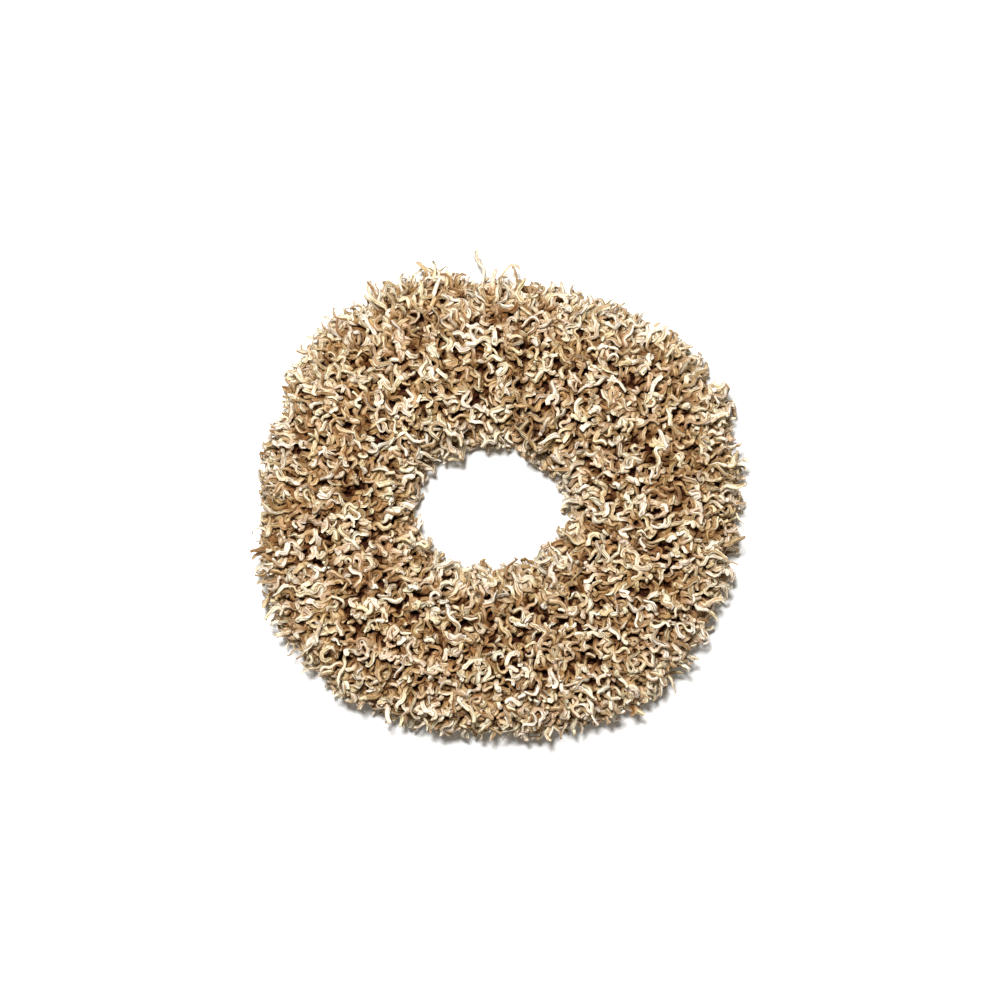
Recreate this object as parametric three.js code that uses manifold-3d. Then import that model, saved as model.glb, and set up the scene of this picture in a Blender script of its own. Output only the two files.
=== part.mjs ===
// A dried maize wreath, lying on its flat back: a flat-backed straw ring with a thick coat of curled,
// crinkled maize husk strands, in bunches side by side round the ring.
// Millimetres, +Z up. The front of the wreath looks up, +Y is its top as it hangs, and the origin is on
// the surface that it lies on, under the middle of the wreath's outline.
import * as THREE from "three";
import { mergeVertices } from "three/addons/utils/BufferGeometryUtils.js";
import Module from "manifold-3d";

const wasm = await Module();
wasm.setup();

// The wreath as a whole.
const DEPTH = 120;
const OUTER_RADIUS = 297;
const OUTER_WIDENING = 7.5;
const OUTER_POINTEDNESS = 3.8;
const OUTER_SQUARENESS = 9;
const OUTER_CORNER_AT = THREE.MathUtils.degToRad(37);
const HOLE_RADIUS = 81;
const HOLE_WIDENING = 9;
const HOLE_SHIFT = 7.5;
const HOLE_SHIFTED_TO = THREE.MathUtils.degToRad(206);

// The straw ring that carries the husk.
const RING_INNER = 150;
const RING_OUTER = 228;
const RING_HEIGHT = 40;
const RING_STEPS = 6;

// The bunches of husk round the ring.
const BUNCHES = 12;
const BUNCH_ANGLE = (2 * Math.PI) / BUNCHES;
const BUNCH_GAP = 1.6;
const BUNCH_STEPS = 3;
const SEAM_WANDER = 10;
const FAN_RADIUS = (RING_INNER + RING_OUTER) / 2;
const FAN_HEIGHT = 18;
const FAN_DIP = THREE.MathUtils.degToRad(28);
const FAN_ROUNDNESS = 2.4;
const PACKED = 0.76;
const PACKED_STEPS = 6;
const PACKED_LIFT = 1;
const RING_CLEARANCE = 0.8;

// The strands, broader and fewer than on the real wreath, so that they still cover it.
const STRANDS = 31;
const STRAND_TRIES = 310;
const STRAND_WIDTH = 17;
const STRAND_THICKNESS = 8;
const STRAND_STEPS = 4;
const STRAND_ROOT = 0.68;
const STRAND_LENGTH = [0.9, 1];
const STRAND_LEAN = [38, 60];
const STRAND_TWIST = 0.9;
const STRAND_BEND = THREE.MathUtils.degToRad(62);
const STRAND_CLEARANCE = 10.8;
const STRAND_HEADROOM = 7.5;
const WAVE_REACH = [4, 6.5];
const WAVE_LENGTH = [30, 40];

// The few long wisps that stand out at the top: the angle that each grows at and how far out its tip is.
const WISPS = [
  { angle: THREE.MathUtils.degToRad(94.5), tip: 311 },
  { angle: THREE.MathUtils.degToRad(85), tip: 297 },
  { angle: THREE.MathUtils.degToRad(107), tip: 302 },
];
const WISP_TURN = 0.4;
const WISP_SWAY = 6;
const WISP_WIDTH = 9;

// A repeatable stream of numbers from 0 to 1.
function numbers(seed) {
  const modulus = 2 ** 32;
  let state = (seed * 2654435761 + 12345) % modulus;
  const next = () => {
    state = (1664525 * state + 1013904223) % modulus;
    return state / modulus;
  };
  next();
  next();
  return next;
}

const mix = (a, b, t) => a + (b - a) * t;
const between = (range, next) => mix(range[0], range[1], next());

// The wreath's outline is a rounded square set askew, a little wider than high and blunter on the left.
// Its hole is wider than high too, and lies off the middle.
const outerRadius = (angle) =>
  OUTER_RADIUS +
  OUTER_WIDENING * Math.cos(2 * angle) +
  OUTER_POINTEDNESS * Math.cos(3 * angle) +
  OUTER_SQUARENESS * Math.cos(4 * (angle - OUTER_CORNER_AT));
const holeRadius = (angle) =>
  HOLE_RADIUS +
  HOLE_WIDENING * Math.cos(2 * angle) +
  HOLE_SHIFT * Math.cos(angle - HOLE_SHIFTED_TO);

// A power that keeps the sign.
const bulge = (value) =>
  Math.sign(value) * Math.abs(value) ** (2 / FAN_ROUNDNESS);

// A point of the wreath's cross-section at a turn round the fan that the strands make: 0 is outward,
// a quarter turn is up, a half turn is towards the hole. Reach 1 is the wreath's surface.
function fanPoint(turn, angle, reach) {
  const side =
    Math.cos(turn) > 0
      ? outerRadius(angle) - FAN_RADIUS
      : FAN_RADIUS - holeRadius(angle);
  const rise = Math.sin(turn) > 0 ? DEPTH - FAN_HEIGHT : FAN_HEIGHT;
  return {
    radius: FAN_RADIUS + reach * side * bulge(Math.cos(turn)),
    height: FAN_HEIGHT + reach * rise * bulge(Math.sin(turn)),
  };
}

// Turns round the fan, spaced so that strands spread evenly over the wreath's surface.
function fanTable(steps) {
  const rows = [{ turn: -FAN_DIP, area: 0 }];
  let last = fanPoint(-FAN_DIP, OUTER_CORNER_AT, 1);
  for (let i = 1; i <= steps; i++) {
    const turn = mix(-FAN_DIP, Math.PI + FAN_DIP, i / steps);
    const here = fanPoint(turn, OUTER_CORNER_AT, 1);
    const run = Math.hypot(
      here.radius - last.radius,
      here.height - last.height,
    );
    rows.push({
      turn,
      area: rows[i - 1].area + (run * (here.radius + last.radius)) / 2,
    });
    last = here;
  }
  return rows;
}

const FAN = fanTable(90);

// The turn below which a given share of the wreath's surface lies.
function fanTurn(share) {
  const wanted = share * FAN[FAN.length - 1].area;
  const i = Math.max(
    1,
    FAN.findIndex((row) => row.area >= wanted),
  );
  const t = (wanted - FAN[i - 1].area) / (FAN[i].area - FAN[i - 1].area);
  return mix(FAN[i - 1].turn, FAN[i].turn, t);
}

// How far the seam before a bunch wanders sideways, at a place in the cross-section. It runs straight
// through the packed roots and winds between the free ends.
function seamWander(bunch, radius, height) {
  const across = radius - FAN_RADIUS;
  const up = height - FAN_HEIGHT;
  const turn = Math.atan2(up, across);
  const side =
    across > 0 ? OUTER_RADIUS - FAN_RADIUS : FAN_RADIUS - HOLE_RADIUS;
  const reach = Math.hypot(across / side, up / (DEPTH - FAN_HEIGHT));
  const grown = THREE.MathUtils.smoothstep(reach, PACKED, 1);
  return (
    SEAM_WANDER * grown * Math.sin(3 * turn + 2.4 * (bunch % BUNCHES) + reach)
  );
}

// A point moved sideways, where it has to be, to stay clear of the bunches next to this one.
function keptInBunch(point, bunch, clearance) {
  const radius = Math.hypot(point.x, point.y);
  const middle = (bunch + 0.5) * BUNCH_ANGLE;
  const offset = Math.atan2(
    Math.sin(Math.atan2(point.y, point.x) - middle),
    Math.cos(Math.atan2(point.y, point.x) - middle),
  );
  const low =
    -BUNCH_ANGLE / 2 +
    (clearance + seamWander(bunch, radius, point.z)) / radius;
  const high =
    BUNCH_ANGLE / 2 -
    (clearance - seamWander(bunch + 1, radius, point.z)) / radius;
  const kept =
    middle +
    (low > high ? (low + high) / 2 : THREE.MathUtils.clamp(offset, low, high));
  return new THREE.Vector3(
    radius * Math.cos(kept),
    radius * Math.sin(kept),
    THREE.MathUtils.clamp(point.z, clearance, DEPTH - STRAND_HEADROOM),
  );
}

// One strand of a bunch in the way that one draw of numbers makes it: the points of its middle line, and
// the direction that it is broad in. It rises from its root in the packed husk, leans over as it nears
// the surface of the wreath, and waves all the way.
function strandLine(bunch, index, draw) {
  const next = numbers((bunch * STRANDS + index) * STRAND_TRIES + draw);
  const angle = (bunch + next()) * BUNCH_ANGLE;
  const turn = fanTurn(next());
  const length = between(STRAND_LENGTH, next);
  const lean = between(STRAND_LEAN, next);
  const leanTo = 2 * Math.PI * next();
  const phase = 2 * Math.PI * next();
  const plane = Math.PI * next();
  const reach = between(WAVE_REACH, next);
  const wave = between(WAVE_LENGTH, next);
  const roll = mix(-0.8, 0.8, next());
  const twist = mix(-STRAND_TWIST, STRAND_TWIST, next());
  const surface = fanPoint(turn, angle, length);
  const out = Math.hypot(
    surface.radius - FAN_RADIUS,
    surface.height - FAN_HEIGHT,
  );
  const at = (t) => {
    const bent = t ** 1.4;
    const p = fanPoint(
      turn + (lean * Math.sin(leanTo) * bent) / out,
      angle,
      mix(STRAND_ROOT, length, Math.sin((Math.PI / 2) * t)),
    );
    const a = angle + (lean * Math.cos(leanTo) * bent) / p.radius;
    return new THREE.Vector3(
      p.radius * Math.cos(a),
      p.radius * Math.sin(a),
      p.height,
    );
  };
  const root = at(0);
  const axis = at(1).sub(root).normalize();
  const heart = new THREE.Vector3(
    FAN_RADIUS * Math.cos(angle),
    FAN_RADIUS * Math.sin(angle),
    FAN_HEIGHT,
  );
  const outward = root.clone().sub(heart).normalize();
  const broad = outward.cross(axis).normalize();
  const third = axis.clone().cross(broad);
  const points = [];
  for (let i = 0; i <= STRAND_STEPS; i++) {
    const t = i / STRAND_STEPS;
    const p = at(t);
    const turned = phase + (2 * Math.PI * p.distanceTo(root)) / wave;
    const grown = reach * THREE.MathUtils.smoothstep(t, 0, 0.4);
    const one = grown * Math.cos(turned);
    const two = grown * roll * Math.sin(turned);
    p.addScaledVector(
      broad,
      one * Math.cos(plane) - two * Math.sin(plane),
    ).addScaledVector(third, one * Math.sin(plane) + two * Math.cos(plane));
    points.push(keptInBunch(p, bunch, STRAND_CLEARANCE));
  }
  const marks = points
    .slice(1)
    .flatMap((p, i) => [p, p.clone().lerp(points[i], 0.5)]);
  return { points, broad, twist, marks };
}

// A wisp's middle line, straight out from its root and swaying from side to side.
function wispLine({ angle, tip }) {
  const bunch = Math.floor(angle / BUNCH_ANGLE);
  const root = fanPoint(WISP_TURN, angle, STRAND_ROOT);
  const points = [];
  for (let i = 0; i <= STRAND_STEPS; i++) {
    const t = i / STRAND_STEPS;
    const radius = mix(root.radius, tip, t);
    const a = angle + (WISP_SWAY * Math.sin(5 * t)) / radius;
    const point = new THREE.Vector3(
      radius * Math.cos(a),
      radius * Math.sin(a),
      root.height,
    );
    points.push(keptInBunch(point, bunch, STRAND_CLEARANCE));
  }
  const broad = new THREE.Vector3(-Math.sin(angle), Math.cos(angle), 0);
  return { points, broad, twist: STRAND_TWIST };
}

// The least distance from one strand's middle line to those of others, measured at points and halfway
// between them.
function roomAround(line, others) {
  let room = Infinity;
  for (const other of others)
    for (const a of line.marks)
      for (const b of other.marks) room = Math.min(room, a.distanceTo(b));
  return room;
}

// The sharpest bend between the straight stretches of a line.
function sharpestBend(points) {
  const stretches = points.slice(1).map((p, i) => p.clone().sub(points[i]));
  return Math.max(
    ...stretches.slice(1).map((stretch, i) => stretch.angleTo(stretches[i])),
  );
}

// All the strands of a bunch, each the roomiest of the draws that bend gently enough.
function bunchStrands(bunch) {
  const chosen = [];
  for (let index = 0; index < STRANDS; index++) {
    let best = null;
    for (let draw = 0; draw < STRAND_TRIES; draw++) {
      const line = strandLine(bunch, index, draw);
      if (sharpestBend(line.points) > STRAND_BEND) continue;
      const room = roomAround(line, chosen);
      if (!best || room > best.room) best = { line, room };
    }
    chosen.push(best.line);
  }
  return chosen;
}

// A geometry as a solid that can be joined to others.
function solidOf(geometry) {
  const bare = geometry.clone();
  bare.deleteAttribute("normal");
  bare.deleteAttribute("uv");
  const merged = mergeVertices(bare, 1e-3);
  return new wasm.Manifold(
    new wasm.Mesh({
      numProp: 3,
      vertProperties: merged.attributes.position.array,
      triVerts: new Uint32Array(merged.index.array),
    }),
  );
}

// A solid as a geometry again.
function geometryOf(solid) {
  const mesh = solid.getMesh();
  const geometry = new THREE.BufferGeometry();
  geometry.setAttribute(
    "position",
    new THREE.BufferAttribute(mesh.vertProperties, 3),
  );
  geometry.setIndex(new THREE.BufferAttribute(mesh.triVerts, 1));
  geometry.computeVertexNormals();
  return geometry;
}

// A geometry of one unit's depth, with every vertex moved to where a function of it says.
function moved(geometry, placeOf) {
  const position = geometry.attributes.position;
  const vertex = new THREE.Vector3();
  for (let i = 0; i < position.count; i++) {
    const place = placeOf(vertex.fromBufferAttribute(position, i));
    position.setXYZ(i, place.x, place.y, place.z);
  }
  return geometry;
}

// One strand: a wavy strip with a ridge along it and blunt ends.
function strand({ points, broad, twist }, width) {
  const section = new THREE.Shape();
  section.moveTo(-width / 2, -STRAND_THICKNESS / 3);
  section.lineTo(width / 2, -STRAND_THICKNESS / 3);
  section.lineTo(0, (STRAND_THICKNESS * 2) / 3);
  section.closePath();
  const frames = points.map((point, i) => {
    const before = points[Math.max(i - 1, 0)];
    const after = points[Math.min(i + 1, STRAND_STEPS)];
    const along = after.clone().sub(before).normalize();
    const side = broad.clone().addScaledVector(along, -broad.dot(along));
    side.normalize().applyAxisAngle(along, twist * (i / STRAND_STEPS - 0.5));
    return { point, side, up: along.cross(side) };
  });
  const straight = new THREE.ExtrudeGeometry(section, {
    steps: STRAND_STEPS,
    depth: 1,
    bevelEnabled: false,
  });
  return moved(straight, ({ x, y, z }) => {
    const { point, side, up } = frames[Math.round(z * STRAND_STEPS)];
    return point.clone().addScaledVector(side, x).addScaledVector(up, y);
  });
}

// The packed roots of a bunch: an arch over the straw ring, bent round with it.
function packedRoots(bunch) {
  const middle = (bunch + 0.5) * BUNCH_ANGLE;
  const arch = new THREE.Shape();
  for (let i = 0; i <= PACKED_STEPS; i++) {
    const turn = mix(0, Math.PI, i / PACKED_STEPS);
    const p = fanPoint(turn, middle, PACKED);
    if (i === 0) arch.moveTo(p.radius, PACKED_LIFT);
    arch.lineTo(p.radius, p.height);
    if (i === PACKED_STEPS) arch.lineTo(p.radius, PACKED_LIFT);
  }
  const under = ringOutline(RING_CLEARANCE, PACKED_LIFT);
  under.reverse().forEach((p) => arch.lineTo(p.x, p.y));
  arch.closePath();
  const straight = new THREE.ExtrudeGeometry(arch, {
    steps: BUNCH_STEPS,
    depth: 1,
    bevelEnabled: false,
  });
  return moved(straight, ({ x, y, z }) => {
    const half = BUNCH_ANGLE / 2 - BUNCH_GAP / 2 / x;
    const angle = middle + mix(half, -half, z);
    return new THREE.Vector3(x * Math.cos(angle), x * Math.sin(angle), y);
  });
}

// The half-round outline of the straw ring from outer foot to inner foot, grown by a clearance.
function ringOutline(clearance, foot) {
  const half = (RING_OUTER - RING_INNER) / 2;
  const points = [];
  for (let i = 0; i <= RING_STEPS; i++) {
    const turn = (Math.PI * i) / RING_STEPS;
    const x = FAN_RADIUS + (half + clearance) * Math.cos(turn);
    const y = (RING_HEIGHT + clearance) * Math.sin(turn);
    points.push(new THREE.Vector2(x, Math.max(y, foot)));
  }
  return points;
}

function ring() {
  const outline = ringOutline(0, 0);
  outline.push(outline[0].clone());
  const geometry = new THREE.LatheGeometry(outline, BUNCHES * BUNCH_STEPS);
  return geometry.rotateX(Math.PI / 2);
}

// A solid's largest body, which fills any hollow that strands close off between them.
function mainBody(solid) {
  const bodies = solid.decompose();
  return bodies.reduce((a, b) => (a.volume() > b.volume() ? a : b));
}

function bunchOfHusk(bunch) {
  const parts = [solidOf(packedRoots(bunch))];
  for (const line of bunchStrands(bunch))
    parts.push(solidOf(strand(line, STRAND_WIDTH)));
  for (const wisp of WISPS)
    if (Math.floor(wisp.angle / BUNCH_ANGLE) === bunch)
      parts.push(solidOf(strand(wispLine(wisp), WISP_WIDTH)));
  return geometryOf(mainBody(wasm.Manifold.union(parts)));
}

const straw = new THREE.MeshStandardMaterial({
  color: 0xa98a5c,
  roughness: 0.95,
  metalness: 0,
});
const husk = new THREE.MeshStandardMaterial({
  color: 0xdcc39a,
  roughness: 0.85,
  metalness: 0,
});

const wreath = new THREE.Group();
function add(name, geometry, material) {
  const mesh = new THREE.Mesh(geometry, material);
  mesh.name = name;
  wreath.add(mesh);
}

add("straw_ring", ring(), straw);
for (let i = 0; i < BUNCHES; i++)
  add(`husk_bunch_${String(i + 1).padStart(2, "0")}`, bunchOfHusk(i), husk);

// The tips are uneven, so the wreath moves a little to have the middle of its outline at the origin.
const outline = new THREE.Box3().setFromObject(wreath);
const middle = outline.getCenter(new THREE.Vector3());
wreath.position.set(-middle.x, -middle.y, 0);

export default wreath;
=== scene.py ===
"""A dried maize wreath, dressed for rendering: thousands of curled husk strands on a straw ring.

Metres, +Z up, in the frame of the solids. The wreath lies on its back, so the camera looks down on it.
Places on the wreath are given as a turn round its cross-section (0 outward, a quarter turn up, a half
turn towards the hole), an angle round the ring, and a reach, which is 1 at the wreath's surface.
"""

import math

import bpy
import numpy as np
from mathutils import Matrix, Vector


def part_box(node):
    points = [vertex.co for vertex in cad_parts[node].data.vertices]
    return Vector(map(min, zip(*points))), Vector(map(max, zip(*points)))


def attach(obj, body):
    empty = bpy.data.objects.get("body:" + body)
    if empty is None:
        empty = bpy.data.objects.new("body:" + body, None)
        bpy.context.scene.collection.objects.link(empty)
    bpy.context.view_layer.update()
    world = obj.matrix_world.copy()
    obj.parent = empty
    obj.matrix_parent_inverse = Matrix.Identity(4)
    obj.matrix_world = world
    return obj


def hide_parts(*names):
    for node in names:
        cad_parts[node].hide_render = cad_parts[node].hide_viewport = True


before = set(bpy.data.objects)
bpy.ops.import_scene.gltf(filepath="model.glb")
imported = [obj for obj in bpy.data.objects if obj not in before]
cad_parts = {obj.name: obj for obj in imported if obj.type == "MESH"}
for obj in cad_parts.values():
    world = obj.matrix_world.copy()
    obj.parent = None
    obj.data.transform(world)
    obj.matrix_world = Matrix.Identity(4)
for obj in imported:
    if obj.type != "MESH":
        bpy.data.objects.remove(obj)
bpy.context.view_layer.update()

# The wreath as a whole, as in the solids.
DEPTH = 0.120
OUTER_RADIUS = 0.2952
OUTER_WIDENING = 0.0075
OUTER_POINTEDNESS = 0.0038
OUTER_SQUARENESS = 0.009
OUTER_CORNER_AT = math.radians(37)
HOLE_RADIUS = 0.082
HOLE_WIDENING = 0.009
HOLE_SHIFT = 0.0075
HOLE_SHIFTED_TO = math.radians(206)
RING_LOW, RING_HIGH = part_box("straw_ring")
RING_MIDDLE = (RING_LOW + RING_HIGH) / 2
RING_OUTER = 0.228
RING_INNER = 0.150
RING_HEIGHT = RING_HIGH.z
BUNCHES = 12
BUNCH_ANGLE = 2 * math.pi / BUNCHES
FAN_RADIUS = (RING_INNER + RING_OUTER) / 2
FAN_HEIGHT = 0.018
FAN_DIP = math.radians(28)
FAN_ROUNDNESS = 2.4
FAN_STEPS = 180

# The random draws of a bunch start from this number plus the bunch's own.
SEED = 7100

# Steps that fill a unit square evenly, one after another, and a step that fills a range evenly.
SQUARE_STEPS = (0.7548776662, 0.5698402910)
RANGE_STEP = 0.618

# The least length that anything is divided by.
TINY = 1e-9

# The strands of a bunch: how many there are, how finely each is made, and its cross-section. Each pair
# of numbers in this part and the next three is a range that a strand draws from.
STRANDS = 442
RINGS = 16
RINGS_TO_TIP = 0.8
SIDES = 5
STRAND_HALF_WIDTH = (0.0023, 0.0039)
STRAND_FLATNESS = (0.5, 0.9)
STRAND_FOLD = (-0.1, 0.4)
STRAND_UNEVENNESS = 0.08
STRAND_CRUMPLE = 0.09
STRAND_TWIST = 1.6
SHARP_EDGE = math.radians(50)

# Where the strands stand, and how they lean: each on its own, with its neighbours in locks, and combed
# down towards the outline and the hole. The powers set how early a strand leans and how early it rises.
SCATTER_ROUND = 0.03
SCATTER_ALONG = 0.012
BUNCH_OFFSET = 0.37
STRAND_ROOT = 0.66
STRAND_TIP = (0.80, 1.0)
TIP_BIAS = 0.7
RAGGEDNESS = 0.04
RAGGED_WAVES = 13
NARROW_RAGGED_WAVES = 31
STRAND_LEAN = (0.005, 0.038)
LEAN_BIAS = 1.2
LEAN_POWER = 1.5
RISE_POWER = 1.7
LOCK_LEAN = 0.01
LOCKS_ROUND = 5.3
LOCKS_ALONG = 17.0
COMBED_LEAN = 0.023

# How the strands wave and curl. Two waves cross each other, and the second has only a share of the
# first one's number of waves. The overhang is how far a strand may stray past the outline or the hole's
# rim, and the lowest is how near it comes to the bottom and the top.
WAVE_LENGTH = (0.016, 0.025)
SECOND_WAVE_SHARE = (0.5, 0.9)
WAVE_SWING = (0.6, 1.4)
SECOND_SWING = (0.2, 0.8)
WAVES_GROW_FROM = -0.1
WAVES_GROWN_BY = 0.4
WAVE_ROLL = 0.6
TIP_CURL = 1.2
CURL_POWER = 3
OVERHANG = 0.004
LOWEST = 0.003

# How wide a strand is on its way to its tip. Its width swells in two waves, with rates in radians a
# metre. What ends in the fringe round the outline is slimmer, from the first share of the radius on and
# fully from the second. No corner of a strand is nearer to the floor than the gap.
SWELL = 0.14
SWELL_RATE = 700
SECOND_SWELL = 0.1
SECOND_SWELL_RATE = 1250
END_WIDTH = 0.75
TIP_WIDTH = (0.55, 1.0)
TAPERED_PART = (0.08, 0.3)
FRINGE_FROM = 0.93
FRINGE_BY = 1.0
FRINGE_SLIMMING = 0.3
FRINGE_TAPER_FROM = 0.65
FLOOR_GAP = 0.0003

# What the husk's material reads: how far apart the strands lie in its grain, and a painted shade from 0,
# darkest, at the bed to 1, unshaded, at the surface. Near the floor that is drawn to the low painted shade,
# a mid tone, as far as the evenness says: fully below the first height, and not at all above the second.
GRAIN_SPREAD = 5
LOW_PAINTED_SHADE = 0.73
LOW_EVENNESS = 0.62
LOW_FROM = 0.01
LOW_TO = 0.06

# The strands that lie along the back, outside the straw ring and inside it. Pairs are ranges here too.
UNDER_STRANDS = 48
UNDER_OFFSET = 0.61
UNDER_OUTSIDE = 0.68
UNDER_HALF_WIDTH = (0.003, 0.0052)
UNDER_HEIGHT = (0.0035, 0.0085)
UNDER_RISE = 0.006
UNDER_FROM = (-0.1, 0.42)
UNDER_FROM_BIAS = 2
UNDER_TO = (0.72, 1.0)
UNDER_LEAN = 0.012
UNDER_WILDNESS = 0.8

# Where the outline has tufts and gaps: the angle in degrees, and how far out they reach in metres.
OUTER_TUFTS = [
    (25, 0.005), (50, -0.012), (65, -0.01), (85, -0.008), (95, -0.011),
    (105, 0.01), (125, -0.012), (155, -0.008), (222, -0.007),
]
HOLE_TUFTS = [
    (5, -0.009), (37, -0.012), (82, 0.009), (118, 0.01), (127, -0.006),
    (180, 0.009), (225, 0.004), (242, 0.015), (256, -0.007), (287, -0.009),
]
TUFT_WIDTH = math.radians(3.6)

# Loose strands that stand out past the coat: half their width, and the places that they pass from
# foot to tip, in millimetres to the right of the ring's middle and above it.
WISPS = {
    "tall": (2.9, [(-17, 261), (-17, 273), (-16, 286), (-21, 294), (-25, 301), (-24, 312)]),
    "hooked": (2.9, [(16, 254), (23, 270), (22, 284), (19, 291)]),
    "hook": (1.7, [(5, 275), (10, 285), (17, 292), (25, 291), (27, 286)]),
    "beside_hooked": (3.0, [(-4, 261), (-5, 273), (-1, 287)]),
    "pale_left": (2.4, [(-85, 273), (-86, 284), (-92, 292), (-98, 296)]),
    "bent_left": (2.8, [(-68, 276), (-73, 286), (-82, 290)]),
    "brown_tip": (2.6, [(-48, 265), (-44, 280)]),
    "short_left": (3.0, [(-113, 259), (-116, 271)]),
    "arch": (3.3, [(-138, 240), (-137, 258), (-133, 270), (-127, 266), (-123, 252)]),
    "thick_left": (3.4, [(-149, 234), (-148, 253), (-151, 265), (-157, 273)]),
    "wavy_left": (2.6, [(-156, 232), (-163, 241), (-171, 244), (-175, 249)]),
    "twig": (2.4, [(-175, 224), (-195, 229), (-198, 241)]),
    "flat_left": (3.2, [(-184, 223), (-200, 226), (-213, 230)]),
    "far_left": (3.3, [(-196, 211), (-208, 208), (-219, 204), (-231, 206)]),
    "low_left": (2.8, [(-214, 189), (-232, 186), (-243, 189)]),
    "curl_right": (2.3, [(110, 240), (115, 248), (110, 254)]),
    "thin_right": (1.6, [(122, 232), (125, 240), (133, 246), (140, 250)]),
    "near_right": (2.2, [(163, 219), (171, 225), (178, 235)]),
    "bowed_right": (2.4, [(185, 203), (177, 214), (178, 226)]),
    "hooked_right": (2.4, [(189, 198), (197, 212), (192, 217), (197, 222)]),
    "far_right": (2.3, [(197, 203), (203, 213)]),
    "high_side_right": (2.3, [(216, 187), (228, 191), (238, 193)]),
    "arc_right": (1.4, [(257, 144), (267, 140), (275, 143)]),
    "side_right": (2.4, [(266, 120), (279, 123), (289, 121)]),
    "high_side_left": (2.8, [(-232, 155), (-241, 159), (-252, 163)]),
    "fork_left": (2.6, [(-246, 132), (-251, 141), (-261, 145)]),
    "low_fork_left": (2.4, [(-241, 128), (-251, 131), (-261, 133)]),
    "side_left": (2.6, [(-272, -104), (-278, -114), (-284, -124)]),
    "hanging_left": (2.6, [(-235, -152), (-237, -165), (-233, -178)]),
    "twig_below": (1.3, [(-214, -194), (-226, -196), (-238, -203)]),
    "strip_below": (2.7, [(-193, -203), (-191, -216), (-187, -234)]),
    "loop_right": (1.1, [(246, -150), (254, -153), (257, -162), (253, -167), (245, -167)]),
    "pointed_right": (3.0, [(228, -178), (236, -183), (245, -186)]),
    "pale_below": (1.6, [(208, -205), (213, -216), (217, -227)]),
    "thin_below": (2.2, [(170, -218), (183, -225), (193, -230)]),
    "bent_below": (3.4, [(163, -219), (175, -227), (181, -239)]),
    "broad_below": (3.6, [(154, -238), (167, -246), (179, -254)]),
}
WISP_ROOT = 0.86
WISP_HEIGHT = (0.048, 0.06)

# The bed of packed husk that the strands grow from. Its top is painted near black as shade in the gaps
# between the strands, and its back at the back shade, a painted mid brown shade.
BED_ROWS = 12
BED_OVER = 30
BED_UNDER = 10
BED_REACH = 0.7
BED_LUMP = 0.04
BED_LUMPS_ROUND = 9
BED_LUMPS_ALONG = 31
BED_LIFT = 0.009
BED_CLEARANCE = 0.001
BACK_PAINTED_SHADE = 0.52

# The straw ring's stalks, and the twine wound round them. The girth is the way round its cross-section,
# and the twine's middle lies its radius times its sink within the straw.
RING_GIRTH = 0.2
STALKS = 40
STALK_ROWS = 108
STALK_COLUMNS = 160
STALK_DRIFT = 0.4
SECOND_STALK_DRIFT = 0.25
STALK_RELIEF = 0.0013
STALK_LIFT = 0.0011
RING_TOP_SHARE = 0.35
TWINE_TURNS = 38
TWINE_STEPS = 28
TWINE_RADIUS = 0.001
TWINE_SINK = 1.15
TWINE_SIDES = 5
TWINE_PLY_RELIEF = 0.12
TWINE_PLIES = 40

# The Mix node's colour sockets go by number: the factor, the two colours, and the result.
MIX_FACTOR = 0
MIX_FIRST = 6
MIX_SECOND = 7
MIX_RESULT = 2

# The studio: the lamp, the light from all round, and the camera. The photograph's pixels are 1.21 mm
# across, and the middle of the straw ring is at this column and row of them.
KEY_PLACE = (-0.2, 0.6, 2.8)
KEY_SIZE = 0.45
KEY_POWER = 141
WORLD_COLOUR = (1, 0.93, 0.83, 1)
WORLD_STRENGTH = 0.21
LENS = 85.0
SENSOR = 36.0
PIXEL = 0.00121
IMAGE_WIDTH = 1000
RING_COLUMN = 497
RING_ROW = 506


def mix(a, b, t):
    return a + (b - a) * t


def smoothstep(x, low, high):
    t = np.clip((x - low) / (high - low), 0, 1)
    return t * t * (3 - 2 * t)


def tufted(angle, tufts):
    """How far some tufts and gaps move an outline at an angle."""
    total = 0
    for place, size in tufts:
        away = (angle - math.radians(place) + math.pi) % (2 * math.pi) - math.pi
        total = total + size * np.exp(-((away / TUFT_WIDTH) ** 2))
    return total


def outer_radius(angle):
    return (
        OUTER_RADIUS
        + tufted(angle, OUTER_TUFTS)
        + OUTER_WIDENING * np.cos(2 * angle)
        + OUTER_POINTEDNESS * np.cos(3 * angle)
        + OUTER_SQUARENESS * np.cos(4 * (angle - OUTER_CORNER_AT))
    )


def hole_radius(angle):
    return (
        HOLE_RADIUS
        + tufted(angle, HOLE_TUFTS)
        + HOLE_WIDENING * np.cos(2 * angle)
        + HOLE_SHIFT * np.cos(angle - HOLE_SHIFTED_TO)
    )


def on_ring(radius, angle, height):
    """Points by how far they are from the ring's axis, their angles round it and their heights."""
    return np.stack([radius * np.cos(angle), radius * np.sin(angle), height], axis=-1)


def ring_way(angle):
    """The way that the ring runs at some angles."""
    return np.stack([-np.sin(angle), np.cos(angle), np.zeros_like(angle)], axis=-1)


def bulge(value):
    """A power that keeps the sign."""
    return np.sign(value) * np.abs(value) ** (2 / FAN_ROUNDNESS)


def fan_point(turn, angle, reach):
    outward = outer_radius(angle) - FAN_RADIUS
    inward = FAN_RADIUS - hole_radius(angle)
    side = np.where(np.cos(turn) > 0, outward, inward)
    rise = np.where(np.sin(turn) > 0, DEPTH - FAN_HEIGHT, FAN_HEIGHT)
    radius = FAN_RADIUS + reach * side * bulge(np.cos(turn))
    height = FAN_HEIGHT + reach * rise * bulge(np.sin(turn))
    return on_ring(radius, angle, height)


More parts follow.
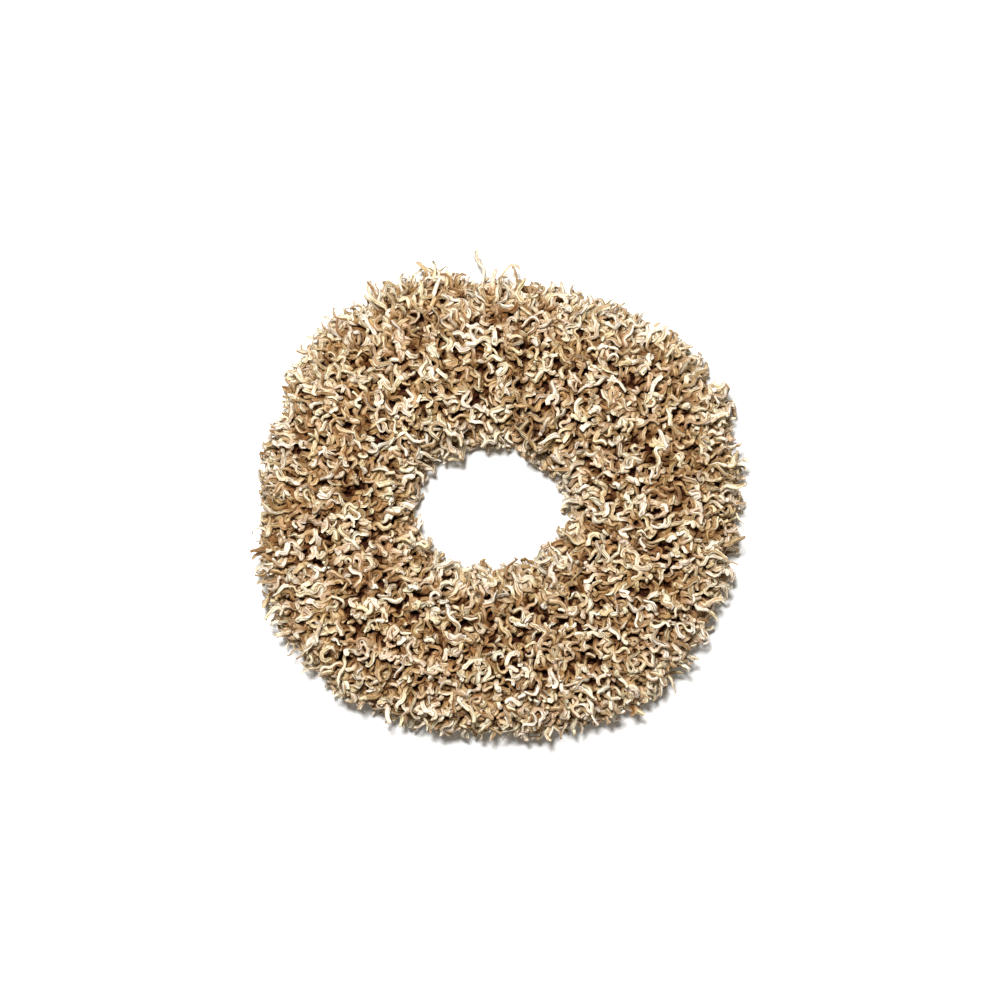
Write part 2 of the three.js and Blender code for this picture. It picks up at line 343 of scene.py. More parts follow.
def reach_of(points):
    """How near the wreath's surface some points are: 0 at the middle of the fan, 1 at the surface."""
    angle = np.arctan2(points[..., 1], points[..., 0])
    aside = np.hypot(points[..., 0], points[..., 1]) - FAN_RADIUS
    height = points[..., 2] - FAN_HEIGHT
    side = np.where(aside > 0, outer_radius(angle) - FAN_RADIUS, FAN_RADIUS - hole_radius(angle))
    rise = np.where(height > 0, DEPTH - FAN_HEIGHT, FAN_HEIGHT)
    shares = np.abs(aside / side) ** FAN_ROUNDNESS + np.abs(height / rise) ** FAN_ROUNDNESS
    return shares ** (1 / FAN_ROUNDNESS)


def fan_table(steps):
    """Turns round the fan, and the share of the wreath's surface that lies below each."""
    turns = np.linspace(-FAN_DIP, math.pi + FAN_DIP, steps + 1)
    points = fan_point(turns, np.zeros_like(turns), 1.0)
    runs = np.linalg.norm(np.diff(points, axis=0), axis=1)
    middle = (points[1:, 0] + points[:-1, 0]) / 2
    area = np.concatenate([[0], np.cumsum(runs * middle)])
    return turns, area / area[-1]


FAN_TURNS, FAN_SHARES = fan_table(FAN_STEPS)

# Where a strand's rings are, from 0 at its root to 1 at its tip.
ALONG = (np.linspace(0, 1, RINGS) ** RINGS_TO_TIP)[None, :]


def unit(vectors):
    return vectors / np.maximum(np.linalg.norm(vectors, axis=-1, keepdims=True), TINY)


def across(vectors, axis):
    """The part of some vectors that is square to an axis, at unit length."""
    return unit(vectors - np.sum(vectors * axis, axis=-1, keepdims=True) * axis)


def running(values):
    """Running totals of some values along their strands, from 0 at the root, by the trapezium rule."""
    steps = (values[:, 1:] + values[:, :-1]) / 2 * np.diff(ALONG)
    return np.concatenate([np.zeros_like(values[:, :1]), np.cumsum(steps, axis=1)], axis=1)


def spread(count, offset):
    """Places that fill a unit square evenly, one after another."""
    order = np.arange(count) + offset
    first, second = SQUARE_STEPS
    return (order * first) % 1, (order * second) % 1


def locks(turn, angle):
    """Which way the strands round a place lean together: round the cross-section, and along the ring."""
    u = LOCKS_ROUND * turn
    v = LOCKS_ALONG * angle
    first = np.sin(u + 1.7 * np.sin(v)) + np.sin(2.3 * v - 1.1 * u + 0.6)
    second = np.cos(v - 1.4 * np.sin(u)) + np.sin(1.9 * u + 0.8 * v + 2.1)
    return first / 2, second / 2


def ragged(angle):
    """How far the tufts stand out along the outline, from -1 to 1."""
    wide = np.sin(RAGGED_WAVES * angle + 1.3 * np.sin(5 * angle))
    narrow = np.sin(NARROW_RAGGED_WAVES * angle + 2.0 * np.sin(7 * angle) + 1.0)
    return (wide + narrow) / 2


def leaning_lines(rng, turn, angle, root, tip):
    """Lines that rise from their roots and lean over with their neighbours: points, and a direction
    along the surface that is square to each line."""
    count = len(turn)
    lean = mix(*STRAND_LEAN, rng.random(count) ** LEAN_BIAS)
    toward = 2 * math.pi * rng.random(count)
    lock_turn, lock_ring = locks(turn, angle)
    lean_turn = lean * np.sin(toward) + LOCK_LEAN * lock_turn - COMBED_LEAN * np.sin(2 * turn)
    lean_ring = lean * np.cos(toward) + LOCK_LEAN * lock_ring
    surface = fan_point(turn, angle, tip)
    out = np.linalg.norm(surface - fan_point(turn, angle, 0 * tip), axis=-1)
    radius = np.hypot(surface[:, 0], surface[:, 1])
    leaned_over = ALONG**LEAN_POWER - 0.5
    reach = mix(root[:, None], tip[:, None], 1 - (1 - ALONG) ** RISE_POWER)
    turns = turn[:, None] + (lean_turn / out)[:, None] * leaned_over
    angles = angle[:, None] + (lean_ring / radius)[:, None] * leaned_over
    lines = fan_point(turns, angles, reach)
    outward = unit(lines[:, 1] - lines[:, 0])
    leaned = across(lines[:, -1] - lines[:, 0], outward)
    return lines, np.cross(outward, leaned)


def waved(rng, lines, side, wildness):
    """Lines that wave about some others as a meandering river does, and curl up towards their tips."""
    count = len(lines)
    t = ALONG
    length = np.linalg.norm(np.diff(lines, axis=1), axis=-1).sum(axis=1)[:, None]
    along = unit(np.gradient(lines, axis=1))
    roll = rng.normal(0, WAVE_ROLL, count)[:, None]
    first = across(np.cos(roll) * side + np.sin(roll) * along[:, -1], along[:, 0])[:, None, :]
    one = across(np.repeat(first, RINGS, axis=1), along)
    two = np.cross(along, one)
    waves = length / mix(*WAVE_LENGTH, rng.random((count, 1)))
    second_waves = waves * mix(*SECOND_WAVE_SHARE, rng.random((count, 1)))
    grown = wildness * smoothstep(t, WAVES_GROW_FROM, WAVES_GROWN_BY)
    swings = []
    for swing, waves_in in ((WAVE_SWING, waves), (SECOND_SWING, second_waves)):
        most = mix(*swing, rng.random((count, 1)))
        phase = 2 * math.pi * rng.random((count, 1))
        swings.append(most * grown * np.sin(2 * math.pi * waves_in * t + phase))
    whole = running(np.cos(np.hypot(*swings)))[:, -1:]
    curl = wildness * TIP_CURL * rng.normal(0, 1, (2, count, 1)) * t**CURL_POWER
    swings = [swing + bend for swing, bend in zip(swings, curl)]
    size = np.maximum(np.hypot(*swings), TINY)
    slip = running(np.cos(size)) / whole - t
    offsets = [running(np.sin(size) * swing / size) / whole for swing in swings]
    lines = lines + (length * slip)[..., None] * along
    lines = lines + (length * offsets[0])[..., None] * one
    lines = lines + (length * offsets[1])[..., None] * two
    lines[..., 2] = np.clip(lines[..., 2], LOWEST, DEPTH - LOWEST)
    return within_outline(lines)


def within_outline(lines):
    """Lines with what strays past the outline or far into the hole drawn back to it."""
    radius = np.hypot(lines[..., 0], lines[..., 1])
    angle = np.arctan2(lines[..., 1], lines[..., 0])
    allowed = np.clip(radius, hole_radius(angle) - OVERHANG, outer_radius(angle) + OVERHANG)
    lines[..., :2] *= (allowed / radius)[..., None]
    return lines


def strand_lines(rng, bunch):
    """Middle lines of a bunch's strands: (strands, rings, 3)."""
    share, place = spread(STRANDS, bunch * BUNCH_OFFSET + 0.5)
    turn = np.interp(share, FAN_SHARES, FAN_TURNS) + rng.normal(0, SCATTER_ROUND, STRANDS)
    angle = (bunch + place) * BUNCH_ANGLE + rng.normal(0, SCATTER_ALONG, STRANDS)
    tip = mix(*STRAND_TIP, rng.random(STRANDS) ** TIP_BIAS)
    tip = tip + RAGGEDNESS * ragged(angle) * np.cos(turn) ** 2
    lines, side = leaning_lines(rng, turn, angle, np.full(STRANDS, STRAND_ROOT), tip)
    return waved(rng, lines, side, 1.0)


def under_lines(rng, bunch):
    """Middle lines of the strands along the back, from the straw ring to the outline or to the hole."""
    share, place = spread(UNDER_STRANDS, bunch * UNDER_OFFSET + 0.5)
    outside = share < UNDER_OUTSIDE
    angle = (bunch + place) * BUNCH_ANGLE
    foot = np.where(outside, RING_OUTER, RING_INNER)
    edge = np.where(outside, outer_radius(angle), hole_radius(angle))
    near = mix(foot, edge, mix(*UNDER_FROM, rng.random(UNDER_STRANDS) ** UNDER_FROM_BIAS))
    far = mix(foot, edge, mix(*UNDER_TO, rng.random(UNDER_STRANDS)))
    radius = mix(near[:, None], far[:, None], ALONG)
    lean = (UNDER_LEAN * rng.normal(0, 1, UNDER_STRANDS) / near)[:, None]
    angles = angle[:, None] + lean * ALONG
    height = mix(*UNDER_HEIGHT, rng.random(UNDER_STRANDS))[:, None] + UNDER_RISE * ALONG
    return waved(rng, on_ring(radius, angles, height), ring_way(angle), UNDER_WILDNESS)


def wisp_lines(bunch):
    """Middle lines and half widths of the wisps whose feet are in a bunch."""
    lines, half_widths = [], []
    for order, (half_width, path) in enumerate(WISPS.values()):
        root = (WISP_ROOT * path[0][0], WISP_ROOT * path[0][1])
        places = np.array([root, *path]) / 1000
        foot = math.atan2(places[1][1], places[1][0]) % (2 * math.pi)
        if int(foot / BUNCH_ANGLE) != bunch:
            continue
        lines.append(smooth_line(places, mix(*WISP_HEIGHT, (order * RANGE_STEP) % 1)))
        half_widths.append(half_width / 1000)
    return np.array(lines), np.array(half_widths)


def smooth_line(places, height):
    """A curve through some places of a flat path, at a height, with a ring for each step along it. It is
    a cubic between each two places, with the slopes that the places on either side of them give."""
    before = 2 * places[0] - places[1]
    after = 2 * places[-1] - places[-2]
    knots = np.vstack([before, places, after])
    t = ALONG[0] * (len(places) - 1)
    i = np.minimum(t.astype(int), len(places) - 2)
    u = (t - i)[:, None]
    a, b, c, d = (knots[i + k] for k in range(4))
    slope = (c - a) / 2
    square = a - 2.5 * b + 2 * c - 0.5 * d
    cube = 1.5 * (b - c) + (d - a) / 2
    flat = b + u * (slope + u * (square + u * cube))
    return np.column_stack([flat, np.full(len(flat), height)])


# A strand's cross-section: the turns of its corners, and 1 for each corner that is at a rim.
SECTION_TURNS = 2 * math.pi * (np.arange(SIDES) + 0.5) / SIDES
EDGE_OF_SECTION = (np.abs(np.cos(SECTION_TURNS)) > 0.5).astype(float)


def sections(rng, count):
    """Cross-sections of some strands, at a half width of 1: flat, folded along the middle, uneven."""
    turn = SECTION_TURNS[None, :]
    flat = mix(*STRAND_FLATNESS, rng.random((count, 1)))
    fold = mix(*STRAND_FOLD, rng.random((count, 1)))
    uneven = 1 + rng.normal(0, STRAND_UNEVENNESS, (count, SIDES))
    x = np.cos(turn) * uneven
    y = flat * np.sin(turn) * uneven + fold * (np.abs(np.cos(turn)) - 0.5)
    return x, y


def in_fringe(tips):
    """How far some tips are in the fringe round the outline, from 0 to 1."""
    radius = np.hypot(tips[:, 0], tips[:, 1])
    angle = np.arctan2(tips[:, 1], tips[:, 0])
    return smoothstep(radius / outer_radius(angle), FRINGE_FROM, FRINGE_BY)


def widths_along(rng, length, half_width, fringe):
    """Half widths of some strands at each of their rings, knobbly all along and tapered to the tip."""
    count, rings = length.shape
    tip_width = mix(*TIP_WIDTH, rng.random(count)) * (1 - FRINGE_SLIMMING * fringe)
    taper_from = mix(1 - mix(*TAPERED_PART, rng.random(count)), FRINGE_TAPER_FROM, fringe)
    knob = 2 * math.pi * rng.random((count, 1))
    swell = (
        1
        + SWELL * np.sin(knob + length * SWELL_RATE)
        + SECOND_SWELL * np.sin(2 * knob + length * SECOND_SWELL_RATE)
    )
    taper = mix(1, tip_width[:, None], smoothstep(ALONG, taper_from[:, None], 1.0))
    closing = np.ones(rings)
    closing[[0, -1]] = END_WIDTH
    return half_width[:, None] * swell * taper * closing


def strand_numbers(rng, points):
    """Three numbers for each point of some strands: a tone and a hue, which all of a strand shares, and
    how near the wreath's surface the point is, from 0 at the bed to 1, which sets a painted shade."""
    numbers = np.zeros_like(points)
    numbers[..., :2] = rng.random((len(points), 1, 1, 2))
    # The third number sets a painted shade: darker deeper in the coat, drawn to one mid shade near the
    # floor.
    low = 1 - smoothstep(points[..., 2], LOW_FROM, LOW_TO)
    above_bed = (reach_of(points) - BED_REACH) / (1 - BED_REACH)
    numbers[..., 2] = mix(above_bed, LOW_PAINTED_SHADE, LOW_EVENNESS * low)
    return numbers


def tubes(rng, lines, half_width=None):
    """Strands round some lines: points, faces, and for each point its grain place, strand numbers and
    rim. Where no half widths are given they are drawn, and what ends in the fringe is slimmer."""
    count, rings = lines.shape[:2]
    along = unit(np.gradient(lines, axis=1))
    side = across(rng.normal(0, 1, (count, 3)), along[:, 0])
    fringe = 0
    if half_width is None:
        half_width = mix(*STRAND_HALF_WIDTH, rng.random(count))
        fringe = in_fringe(lines[:, -1])
    across_x, across_y = sections(rng, count)
    twist = rng.normal(0, STRAND_TWIST, count)
    steps = np.linalg.norm(np.diff(lines, axis=1, prepend=lines[:, :1]), axis=-1)
    length = np.cumsum(steps, axis=1)
    size = widths_along(rng, length, half_width, fringe)
    points = np.zeros((count, rings, SIDES, 3))
    grain = np.zeros_like(points)
    for i in range(rings):
        side = across(side, along[:, i])
        up = np.cross(along[:, i], side)
        x = size[:, i, None] * across_x
        y = size[:, i, None] * across_y
        turned = (twist * ALONG[0, i])[:, None]
        c, s = np.cos(turned), np.sin(turned)
        points[:, i] = (
            lines[:, i, None, :]
            + (x * c - y * s)[..., None] * side[:, None, :]
            + (x * s + y * c)[..., None] * up[:, None, :]
        )
        grain[:, i] = np.stack([x, y, np.repeat(length[:, i, None], SIDES, axis=1)], axis=-1)
    points += STRAND_CRUMPLE * half_width[:, None, None, None] * rng.normal(0, 1, points.shape)
    points[..., 2] = np.maximum(points[..., 2], FLOOR_GAP)
    grain += rng.uniform(-GRAIN_SPREAD, GRAIN_SPREAD, (count, 1, 1, 3))
    numbers = strand_numbers(rng, points)
    rims = np.broadcast_to(EDGE_OF_SECTION, points.shape[:3])
    faces = tube_faces(count, rings, SIDES)
    return points.reshape(-1, 3), faces, grain.reshape(-1, 3), numbers.reshape(-1, 3), rims.ravel()


def tube_faces(count, rings, corners):
    """Faces of some closed tubes, as lists of corner numbers: the sides, then the ends."""
    ring = np.arange(rings - 1)[:, None] * corners
    k = np.arange(corners)[None, :]
    after = (k + 1) % corners
    quads = [ring + k, ring + after, ring + corners + after, ring + corners + k]
    sides = np.stack(quads, axis=-1).reshape(-1, 4)
    ends = np.concatenate([k[:, ::-1], (rings - 1) * corners + k])
    start = (np.arange(count) * rings * corners)[:, None, None]
    return [(sides + start).reshape(-1, 4), (ends + start).reshape(-1, corners)]


def joined_faces(parts):
    """The corners of all the faces of some parts, one after another, and how many each face has."""
    corners, sizes = [], []
    start = 0
    for points, part_faces, *_ in parts:
        for faces in part_faces:
            corners.append((faces + start).ravel())
            sizes.append(np.full(len(faces), faces.shape[1]))
        start += len(points)
    return np.concatenate(corners), np.concatenate(sizes)


def new_mesh(name, points, corners, sizes):
    """A mesh with smooth shading, apart from its sharp edges."""
    mesh = bpy.data.meshes.new(name)
    mesh.vertices.add(len(points))
    mesh.vertices.foreach_set("co", points.astype(np.float32).ravel())
    mesh.loops.add(len(corners))
    mesh.loops.foreach_set("vertex_index", corners.astype(np.int32))
    mesh.polygons.add(len(sizes))
    starts = np.concatenate([[0], np.cumsum(sizes)[:-1]])
    mesh.polygons.foreach_set("loop_start", starts.astype(np.int32))
    mesh.polygons.foreach_set("loop_total", sizes.astype(np.int32))
    mesh.update(calc_edges=True)
    mesh.shade_smooth()
    mesh.set_sharp_from_angle(angle=SHARP_EDGE)
    return mesh


def mesh_piece(name, parts, material, replaced):
    """One piece from parts that each hold points, faces, grain places, strand numbers and rims."""
    points, _, grain, numbers, rims = zip(*parts)
    points = np.concatenate(points) + np.array([RING_MIDDLE.x, RING_MIDDLE.y, 0])
    mesh = new_mesh(name, points, *joined_faces(parts))
    for label, values in (("grain", grain), ("strand", numbers)):
        layer = mesh.attributes.new(label, "FLOAT_VECTOR", "POINT")
        layer.data.foreach_set("vector", np.concatenate(values).astype(np.float32).ravel())
    layer = mesh.attributes.new("rim", "FLOAT", "POINT")
    layer.data.foreach_set("value", np.concatenate(rims).astype(np.float32))
    mesh.materials.append(material)
    piece = bpy.data.objects.new(name, mesh)
    bpy.context.scene.collection.objects.link(piece)
    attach(piece, "root")
    if replaced:
        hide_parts(*replaced)


def closed_grid(points, numbers):
    """A closed body from a grid of points that wraps round its second way, with both its ends filled."""
    faces = tube_faces(1, *points.shape[:2])
    points = points.reshape(-1, 3)
    return points, faces, points, numbers.reshape(-1, 3), np.zeros(len(points))


def husk_bed(bunch):
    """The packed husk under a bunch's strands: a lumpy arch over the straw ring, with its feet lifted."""
    turn = np.concatenate([np.linspace(0, math.pi, BED_OVER), np.linspace(math.pi, 0, BED_UNDER)])
    over = (np.arange(len(turn)) < BED_OVER)[None, :]
    angle = (bunch + np.linspace(0, 1, BED_ROWS)) * BUNCH_ANGLE
    turns, angles = np.meshgrid(turn, angle)
    lumps_round = np.sin(BED_LUMPS_ROUND * turns + 3 * np.sin(23 * angles))
    lumps_along = np.sin(BED_LUMPS_ALONG * angles + 2 * np.sin(5 * turns))
    outer = fan_point(turns, angles, BED_REACH + BED_LUMP * (lumps_round * lumps_along))
    half = (RING_OUTER - RING_INNER) / 2 + BED_CLEARANCE
    height = np.maximum((RING_HEIGHT + BED_CLEARANCE) * np.sin(turns), BED_LIFT)
    inner = on_ring(FAN_RADIUS + half * np.cos(turns), angles, height)
    points = np.where(over[..., None], outer, inner)
    points[:, [0, BED_OVER - 1], 2] = BED_LIFT
    numbers = np.full_like(points, 0.5)
    # Painted shade: near black on the bed's top between the strands, a mid brown on its back.
    numbers[..., 2] = np.where(over, 0, BACK_PAINTED_SHADE)
    return closed_grid(points, numbers)


def husk_bunch(index, material):
    """The piece that stands for a bunch: its bed, its coat, the strands along its back and its wisps."""
    rng = np.random.default_rng(SEED + index)
    coat = tubes(rng, strand_lines(rng, index))
    under_widths = mix(*UNDER_HALF_WIDTH, rng.random(UNDER_STRANDS))
    back = tubes(rng, under_lines(rng, index), under_widths)
    parts = [husk_bed(index), coat, back]
    wisps, wisp_widths = wisp_lines(index)
    if len(wisps):
        parts.append(tubes(rng, wisps, wisp_widths))
    name = f"husk_bunch_{index + 1:02d}"
    mesh_piece(f"{name}_strands", parts, material, [name])


def ring_outline(place, bite):
    """Places round the straw ring's cross-section, from 0 at its outer foot over the top and back along
    its flat base to 1: distance from the middle of the straw and height, sunk in by some bite."""
    half = (RING_OUTER - RING_INNER) / 2
    over = place < RING_TOP_SHARE
    turn = math.pi * np.where(over, place / RING_TOP_SHARE, (1 - place) / (1 - RING_TOP_SHARE))
    aside = (half - bite) * np.cos(turn)
    height = np.where(over, bite + (RING_HEIGHT - 2 * bite) * np.sin(turn), bite)
    return aside, height


def straw_stalks():
    """The straw of the ring: stalks that run round it side by side, and drift a little."""
    place = np.linspace(0, 1, STALK_COLUMNS, endpoint=False)
    angle = np.linspace(0, 2 * math.pi, STALK_ROWS, endpoint=False)
    places, angles = np.meshgrid(place, angle)
    drift = STALK_DRIFT * np.sin(3 * angles + 5 * places) + SECOND_STALK_DRIFT * np.sin(7 * angles + 1.0)
    stalk = places * STALKS + drift
    bite = STALK_LIFT + STALK_RELIEF * (1 - np.abs(np.cos(math.pi * stalk)))
    aside, height = ring_outline(places, bite)
    points = on_ring(FAN_RADIUS + aside, angles, height).reshape(-1, 3)
    grain = np.stack([places * RING_GIRTH, height, angles * FAN_RADIUS], axis=-1).reshape(-1, 3)
    tone = (np.floor(stalk) * RANGE_STEP) % 1
    numbers = np.stack([tone, angles, places], axis=-1).reshape(-1, 3)
    return points, [ring_faces(STALK_ROWS, STALK_COLUMNS)], grain, numbers, np.zeros(len(points))


def ring_faces(rows, columns):
    """Faces of a grid of points that wraps round both ways."""
    i = np.arange(rows)[:, None]
    k = np.arange(columns)[None, :]
    below, beside = (i + 1) % rows, (k + 1) % columns
    corners = [i * columns + k, below * columns + k, below * columns + beside, i * columns + beside]
    return np.stack(corners, axis=-1).reshape(-1, 4)


def twine_winding():
    """Twine wound round the straw in one long spiral that closes on itself."""
    rows = TWINE_TURNS * TWINE_STEPS
    turn = np.arange(rows) / rows
    aside, height = ring_outline((turn * TWINE_TURNS) % 1, TWINE_RADIUS * TWINE_SINK)
    angle = 2 * math.pi * turn
    line = on_ring(FAN_RADIUS + aside, angle, height)
    along = unit(np.roll(line, -1, axis=0) - np.roll(line, 1, axis=0))
    side = across(ring_way(angle), along)
    up = np.cross(along, side)
    corner = 2 * math.pi * np.arange(TWINE_SIDES) / TWINE_SIDES
    plies = np.sin(TWINE_PLIES * angle * TWINE_TURNS)
    size = TWINE_RADIUS * (1 + TWINE_PLY_RELIEF * plies)[:, None, None]
    section = np.cos(corner)[:, None] * side[:, None] + np.sin(corner)[:, None] * up[:, None]
    points = (line[:, None] + size * section).reshape(-1, 3)
    length = np.repeat(turn * TWINE_TURNS * RING_GIRTH, TWINE_SIDES)
    grain = points + length[:, None] * np.array([[0, 0, 1]])
    return points, [ring_faces(rows, TWINE_SIDES)], grain, np.zeros_like(points), np.zeros(len(points))


def straw_ring(material, twine):
    mesh_piece("straw_ring_stalks", [straw_stalks()], material, ["straw_ring"])
    mesh_piece("straw_ring_twine", [twine_winding()], twine, [])


def new_material(name):
    """A material with an empty node tree, and a helper that adds a node with its inputs and settings."""
    material = bpy.data.materials.new(name)
    material.use_nodes = True
    tree = material.node_tree
    tree.nodes.clear()

    def add(kind, inputs=None, **settings):
        node = tree.nodes.new(kind)
        for key, value in settings.items():
            setattr(node, key, value)
        for key, value in (inputs or {}).items():
            if isinstance(value, bpy.types.NodeSocket):
                tree.links.new(value, node.inputs[key])
            else:
                node.inputs[key].default_value = value
        return node

    return material, add


def ramp(add, factor, stops):
    node = add("ShaderNodeValToRGB", {"Fac": factor})
    elements = node.color_ramp.elements
    while len(elements) < len(stops):
        elements.new(0.5)
    for element, (position, colour) in zip(elements, stops):
        element.position = position
        element.color = (*colour, 1)
    return node.outputs["Color"]


def layered(add, colour, layers):
    """A colour multiplied by those of some ramps, each with its factor, the place that it is read at and
    its stops."""
    for factor, place, stops in layers:
        inputs = {MIX_FACTOR: factor, MIX_FIRST: colour, MIX_SECOND: ramp(add, place, stops)}
        node = add("ShaderNodeMix", inputs, data_type="RGBA", blend_type="MULTIPLY")
        colour = node.outputs[MIX_RESULT]
    return colour


def noise(add, place, scale, detail, roughness=0.5):
    inputs = {"Vector": place, "Scale": scale, "Detail": detail, "Roughness": roughness}
    return add("ShaderNodeTexNoise", inputs).outputs["Fac"]


def attribute(add, name, output="Vector"):
    return add("ShaderNodeAttribute", attribute_name=name).outputs[output]


def lengthened(add, place, share):
    """A place squeezed along the strand, so that a texture there is drawn out along it."""
    return add("ShaderNodeMapping", {"Vector": place, "Scale": (1, 1, share)}).outputs["Vector"]


def roughness(add, factor, low, high):
    return add("ShaderNodeMapRange", {"Value": factor, "To Min": low, "To Max": high}).outputs["Result"]


def relief(add, height, strength, distance, normal=None):
    """A normal that follows some height, on top of another one where that is given."""
    inputs = {"Height": height, "Strength": strength, "Distance": distance}
    if normal is not None:
        inputs["Normal"] = normal
    return add("ShaderNodeBump", inputs).outputs["Normal"]


def surface(add, inputs):
    shader = add("ShaderNodeBsdfPrincipled", inputs)
    add("ShaderNodeOutputMaterial", {"Surface": shader.outputs["BSDF"]})


def husk_colour(add, grain, fibres, ribs):
    """A tone and a hue for each strand, then blotches, tinges and fibres; ribs with painted shade in their
    grooves, painted brown shade along the rims, and painted shade that deepens below the surface.
    """
    strand = add("ShaderNodeSeparateXYZ", {"Vector": attribute(add, "strand")}).outputs
    blotches = noise(add, grain, scale=130.0, detail=2.0)
    tinges = noise(add, grain, scale=70.0, detail=1.0)
    rim = attribute(add, "rim", output="Fac")
    tones = [
        (0.0, (0.52, 0.36, 0.2)),
        (0.12, (0.77, 0.67, 0.52)),
        (0.35, (0.87, 0.82, 0.735)),
        (0.7, (0.865, 0.825, 0.75)),
        (1.0, (0.865, 0.835, 0.77)),
    ]
    hues = [
        (0.0, (1.0, 0.97, 0.8)),
        (0.3, (0.98, 1.0, 0.9)),
        (0.6, (1.0, 1.0, 1.0)),
        (1.0, (1.0, 0.92, 0.88)),
    ]
    # Painted shade by depth: near black at the bed, brown lower in the coat, none at the surface.
    painted_depth_shade = [
        (0.0, (0.055, 0.012, 0.002)),
        (0.32, (0.14, 0.05, 0.012)),
        (0.62, (0.6, 0.435, 0.27)),
        (0.82, (0.95, 0.9, 0.83)),
        (1.0, (1, 1, 1)),
    ]
    layers = [
        (0.8, strand["Y"], hues),
        (0.6, blotches, [(0.3, (0.76, 0.66, 0.5)), (0.58, (1, 1, 1))]),
        (0.7, tinges, [(0.35, (0.97, 1.0, 0.88)), (0.5, (1, 1, 1)), (0.65, (1.0, 0.95, 0.93))]),
        (0.8, fibres, [(0.38, (0.38, 0.25, 0.12)), (0.5, (1, 1, 1))]),
        # The ribs' grooves are painted darker, as shade in the creases.
        (0.8, ribs, [(0.34, (0.55, 0.4, 0.22)), (0.45, (1, 1, 1))]),
        # Painted brown shade along each strand's rims, as the dark outlines between strands.
        (0.8, rim, [(0.74, (1, 1, 1)), (0.98, (0.42, 0.27, 0.12))]),
        (1.0, strand["Z"], painted_depth_shade),
    ]
    return layered(add, ramp(add, strand["X"], tones), layers)


def husk_material():
    material, add = new_material("dried_husk")
    grain = attribute(add, "grain")
    drawn_out = lengthened(add, grain, share=0.07)
    fibres = noise(add, drawn_out, scale=900.0, detail=3.0, roughness=0.6)
    ribs = noise(add, drawn_out, scale=380.0, detail=1.0)
    fine = relief(add, fibres, strength=0.9, distance=0.001)
    surface(add, {
        "Base Color": husk_colour(add, grain, fibres, ribs),
        "Roughness": roughness(add, fibres, low=0.65, high=0.9),
        "Normal": relief(add, ribs, strength=1.0, distance=0.003, normal=fine),
        "Specular IOR Level": 0.15,
    })
    return material


def straw_material():
    material, add = new_material("straw_stalks")
    stalk = add("ShaderNodeSeparateXYZ", {"Vector": attribute(add, "strand")}).outputs
    grain = attribute(add, "grain")
    drawn_out = lengthened(add, grain, share=0.04)
    fibres = noise(add, drawn_out, scale=1400.0, detail=3.0, roughness=0.6)
    blotches = noise(add, grain, scale=60.0, detail=3.0)
    tones = [(0.0, (0.33, 0.2, 0.07)), (0.5, (0.58, 0.41, 0.18)), (1.0, (0.78, 0.62, 0.35))]
    layers = [
        (0.7, blotches, [(0.35, (0.5, 0.36, 0.2)), (0.6, (1, 1, 1))]),
        (0.6, fibres, [(0.36, (0.5, 0.38, 0.2)), (0.56, (1, 1, 1))]),
    ]
    surface(add, {
        "Base Color": layered(add, ramp(add, stalk["X"], tones), layers),
        "Roughness": roughness(add, fibres, low=0.4, high=0.7),
        "Normal": relief(add, fibres, strength=0.7, distance=0.0005),
    })
    return material


def twine_material():
    material, add = new_material("jute_twine")
    grain = attribute(add, "grain")
    inputs = {"Vector": grain, "Scale": 240.0, "Distortion": 2.0}
    plies = add("ShaderNodeTexWave", inputs, bands_direction="DIAGONAL").outputs["Fac"]
    hairs = noise(add, grain, scale=1500.0, detail=2.0)
    tones = [(0.2, (0.16, 0.1, 0.05)), (0.8, (0.36, 0.25, 0.13))]
    layers = [(0.5, hairs, [(0.35, (0.55, 0.5, 0.4)), (0.6, (1, 1, 1))])]
    surface(add, {
        "Base Color": layered(add, ramp(add, plies, tones), layers),
        "Roughness": 0.85,
        "Normal": relief(add, plies, strength=0.8, distance=0.0005),
    })
    return material


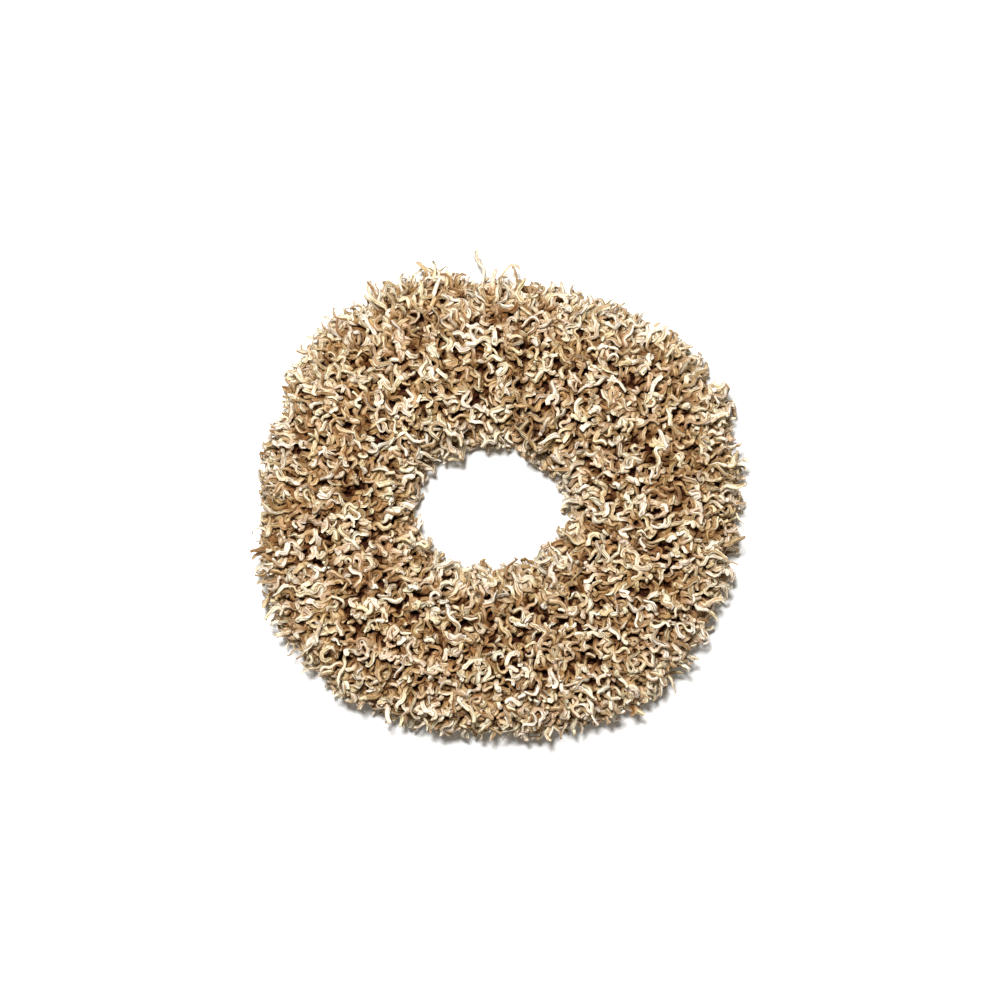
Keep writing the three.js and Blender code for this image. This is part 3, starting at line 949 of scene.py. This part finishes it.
def floor_material():
    material, add = new_material("pale_floor")
    place = add("ShaderNodeTexCoord").outputs["Object"]
    unevenness = noise(add, place, scale=3.0, detail=4.0)
    colour = ramp(add, unevenness, [(0.3, (0.86, 0.86, 0.855)), (0.7, (0.88, 0.88, 0.875))])
    surface(add, {"Base Color": colour, "Roughness": 0.9})
    return material


def add_floor():
    half = 12.0
    corners = [(-half, -half, 0), (half, -half, 0), (half, half, 0), (-half, half, 0)]
    mesh = bpy.data.meshes.new("floor")
    mesh.from_pydata(corners, [], [(0, 1, 2, 3)])
    mesh.materials.append(floor_material())
    floor = bpy.data.objects.new("floor", mesh)
    bpy.context.scene.collection.objects.link(floor)


def add_key_light():
    """A round lamp above the wreath, a little towards its top, that shines on its middle."""
    lamp = bpy.data.lights.new("key", "AREA")
    lamp.shape = "DISK"
    lamp.size = KEY_SIZE
    lamp.energy = KEY_POWER
    light = bpy.data.objects.new("key", lamp)
    bpy.context.scene.collection.objects.link(light)
    light.location = KEY_PLACE
    light.rotation_mode = "QUATERNION"
    light.rotation_quaternion = (Vector(KEY_PLACE) - Vector((0, 0, DEPTH / 2))).to_track_quat("Z", "Y")


def add_camera():
    """Straight above the wreath, framed as the photograph is."""
    camera_data = bpy.data.cameras.new("camera")
    camera_data.lens = LENS
    camera_data.sensor_width = SENSOR
    camera = bpy.data.objects.new("camera", camera_data)
    bpy.context.scene.collection.objects.link(camera)
    x = RING_MIDDLE.x + (IMAGE_WIDTH / 2 - RING_COLUMN) * PIXEL
    y = RING_MIDDLE.y - (IMAGE_WIDTH / 2 - RING_ROW) * PIXEL
    camera.location = (x, y, DEPTH / 2 + PIXEL * IMAGE_WIDTH * LENS / SENSOR)
    bpy.context.scene.camera = camera


def add_world():
    world = bpy.data.worlds.new("studio")
    world.use_nodes = True
    background = world.node_tree.nodes["Background"]
    background.inputs["Color"].default_value = WORLD_COLOUR
    background.inputs["Strength"].default_value = WORLD_STRENGTH
    bpy.context.scene.world = world


add_camera()
add_world()
add_key_light()
add_floor()
bpy.context.scene.view_settings.view_transform = "Standard"

straw_ring(straw_material(), twine_material())
husk = husk_material()
for index in range(BUNCHES):
    husk_bunch(index, husk)
